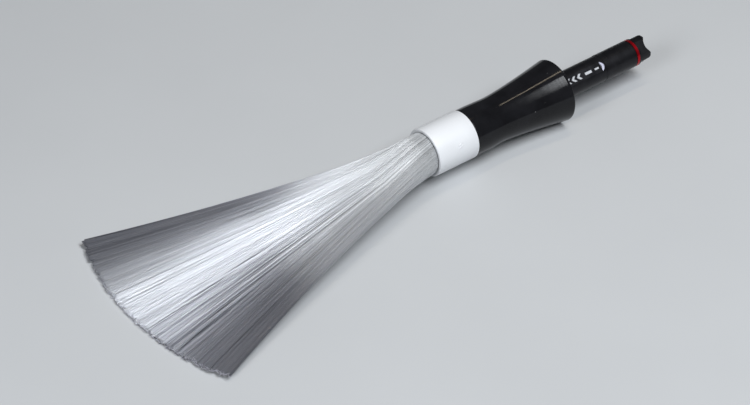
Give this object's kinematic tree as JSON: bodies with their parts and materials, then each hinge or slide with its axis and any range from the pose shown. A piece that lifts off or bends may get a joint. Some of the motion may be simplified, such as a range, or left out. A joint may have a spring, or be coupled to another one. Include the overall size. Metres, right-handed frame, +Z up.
{
  "type": "light painting fibre brush",
  "caption": "Fan of clear plastic fibres in a white pipe collar, joined by a flared rubber sleeve to a slim torch that lights them.",
  "frame": {"origin": "centre of the footprint, on the plane that the tool lies on", "axes": "+X along the tool from the fibres towards the torch's tail, +Z up, away from the plane that the tool lies on"},
  "size_m": [0.4168, 0.16, 0.0439],
  "materials": {
    "fibre": "clear colourless nylon filament, milky in bulk",
    "white_pvc": "satin white rigid vinyl pipe fitting",
    "sleeve_vinyl": "glossy black flexible vinyl",
    "black_anodised": "satin black anodised",
    "red_anodised": "bright red anodised",
    "white_ink": "pad-printed ink",
    "black_rubber": "matt black rubber",
    "clear_resin": "clear cast resin or acrylic",
    "lens_glass": "clear window",
    "board_white": "white solder mask on an aluminium board",
    "led_phosphor": "yellow phosphor under a clear dome",
    "brass_part": "turned brass",
    "cell_can": "plain wrapped cell",
    "spring_steel": "plated spring wire",
    "switch_plastic": "moulded switch housing"
  },
  "bodies": {
    "torch": {"barrel": "black_anodised", "head_bezel": "black_anodised", "lens_oring": "black_rubber", "front_lens": "lens_glass", "beam_optic": "clear_resin", "led_board": "board_white", "led_emitter": "led_phosphor", "driver_module": "brass_part", "driver_contact": "brass_part", "label_mark": "white_ink", "front_cell": "cell_can", "rear_cell": "cell_can"},
    "sleeve": {"connector_sleeve": "sleeve_vinyl"},
    "brush": {"collar": "white_pvc", "pipe_nipple": "white_pvc", "fibre_root": "fibre", "root_band": "black_rubber", "potting_plug": "clear_resin"},
    "throat": {"fibre_throat": "fibre"},
    "fan": {"fibre_tuft_1": "fibre", "fibre_tuft_2": "fibre", "fibre_tuft_3": "fibre", "fibre_tuft_4": "fibre", "fibre_tuft_5": "fibre", "fibre_tuft_6": "fibre", "fibre_tuft_7": "fibre"},
    "ring": {"accent_ring": "red_anodised"},
    "cap": {"tail_cap": "black_anodised", "tail_oring": "black_rubber", "tail_spring": "spring_steel", "spring_seat": "brass_part", "switch_can": "switch_plastic"},
    "button": {"switch_button": "black_rubber"}
  },
  "joints": [
    {"name": "sleeve_pull", "type": "slide", "parent": "torch", "child": "sleeve", "axis": [-1, 0, 0], "range_m": [0, 0.09]},
    {"name": "brush_pull", "type": "slide", "parent": "sleeve", "child": "brush", "axis": [-1, 0, 0], "range_m": [0, 0.024]},
    {"name": "fan_sweep", "type": "hinge", "parent": "brush", "child": "throat", "pos_m": [0.01565, 0, 0.02195], "axis": [0, 0, 1], "range_deg": [-10, 10], "stiffness_Nm_per_rad": 1.5},
    {"name": "fan_bend", "type": "hinge", "parent": "throat", "child": "fan", "pos_m": [-0.00475, 0, 0.02118], "axis": [0, 1, 0], "range_deg": [-25, 25], "stiffness_Nm_per_rad": 1.5, "springref_deg": 5.16},
    {"name": "cap_unscrew", "type": "slide", "parent": "torch", "child": "ring", "axis": [1, 0, 0], "range_m": [0, 0.004]},
    {"name": "cap_turn", "type": "hinge", "parent": "ring", "child": "cap", "pos_m": [0.2, 0, 0.02195], "axis": [1, 0, 0], "range_deg": [0, 1440]},
    {"name": "button_press", "type": "slide", "parent": "cap", "child": "button", "axis": [-1, 0, 0], "range_m": [0, 0.0012], "stiffness_N_per_m": 600, "springref_m": -0.001}
  ],
  "couplings": [
    {"joint": "cap_turn", "follows": "cap_unscrew", "rad_per_m": 6283.2}
  ]
}
